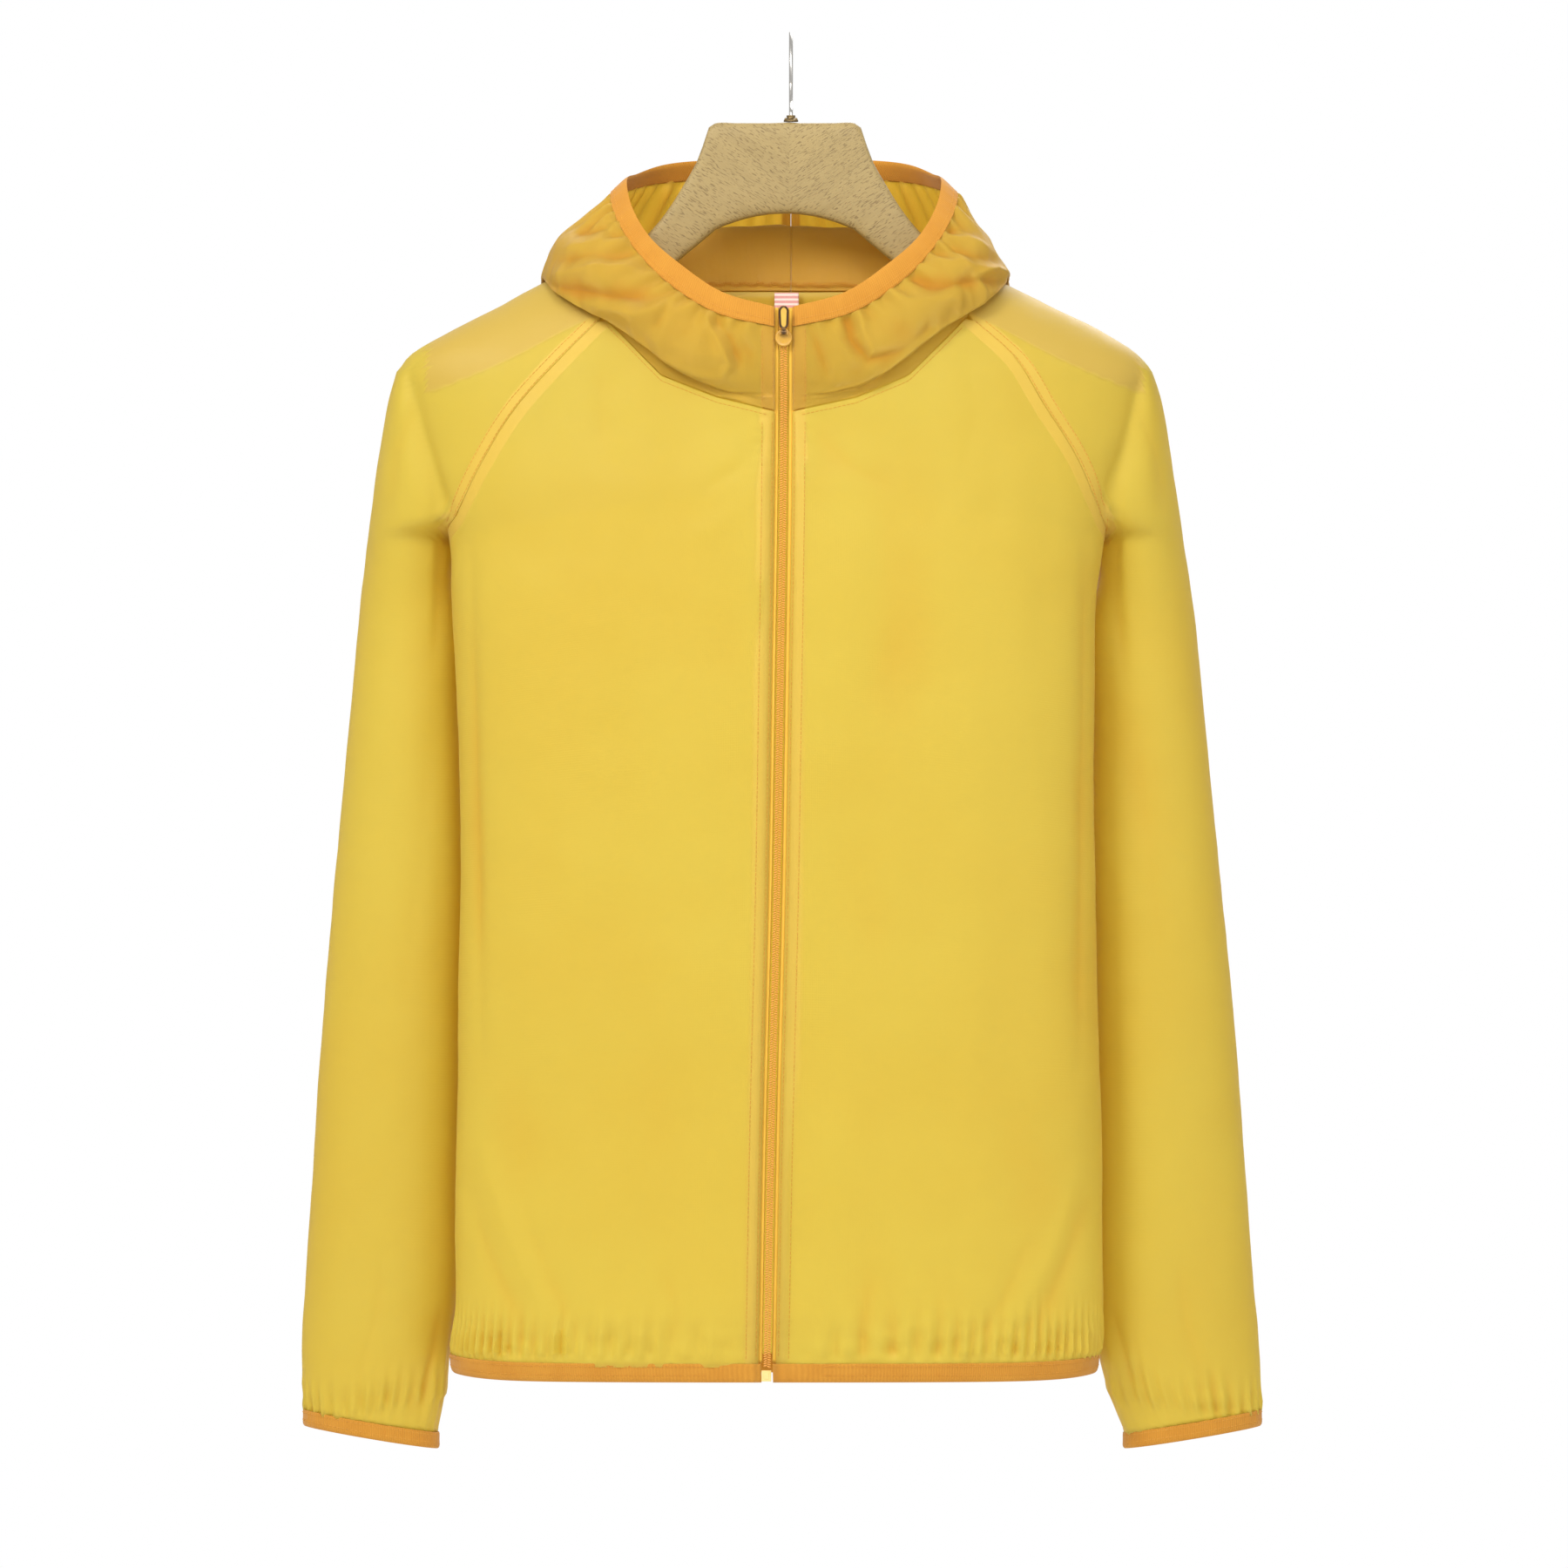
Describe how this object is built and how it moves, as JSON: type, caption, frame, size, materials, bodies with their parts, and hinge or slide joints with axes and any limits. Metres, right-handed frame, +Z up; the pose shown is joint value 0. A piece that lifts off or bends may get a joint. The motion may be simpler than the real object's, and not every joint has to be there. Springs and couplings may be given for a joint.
{
  "type": "packable hooded rain jacket on a wooden coat hanger",
  "caption": "Thin hooded rain jacket with raglan sleeves, front zip and elastic edges, hanging on a wooden hanger.",
  "frame": {"origin": "inside top of the hanger's hook, where a rail carries it", "axes": "+Z up along the hanger's stem, -Y out of the jacket's front, +X to the right of someone who looks at the front"},
  "size_m": [0.553, 0.1491, 0.8154],
  "materials": {
    "cloth": "thin translucent coated nylon, slight sheen",
    "binding": "matt elastic binding",
    "zip_tape": "matt woven tape",
    "zip_chain": "satin nylon coil",
    "zip_slider": "satin enamel",
    "zip_pull": "satin enamel",
    "zip_stop": "satin",
    "label": "woven, plain stripes",
    "wood": "clear matt lacquer on beech",
    "hook": "satin",
    "ferrule": "dark, worn"
  },
  "bodies": {
    "jacket": {"back": "cloth", "front_left": "cloth", "front_right": "cloth", "sleeve_left": "cloth", "sleeve_right": "cloth", "hood_left": "cloth", "hood_right": "cloth", "hood_binding": "binding", "hem_binding": "binding", "cuff_binding_left": "binding", "cuff_binding_right": "binding", "zip_tape_left": "zip_tape", "zip_tape_right": "zip_tape", "zip_chain": "zip_chain", "zip_slider": "zip_slider", "zip_bottom_stop": "zip_stop", "neck_label": "label", "hanger_left": "wood", "hanger_right": "wood", "hanger_hook": "hook", "hanger_ferrule": "ferrule"},
    "pull": {"zip_pull": "zip_pull"}
  },
  "joints": [
    {"name": "pull_hinge", "type": "hinge", "parent": "jacket", "child": "pull", "pos_m": [-0.00418, -0.06263, -0.1733], "axis": [1, 0, 0], "range_deg": [0, 165]}
  ]
}
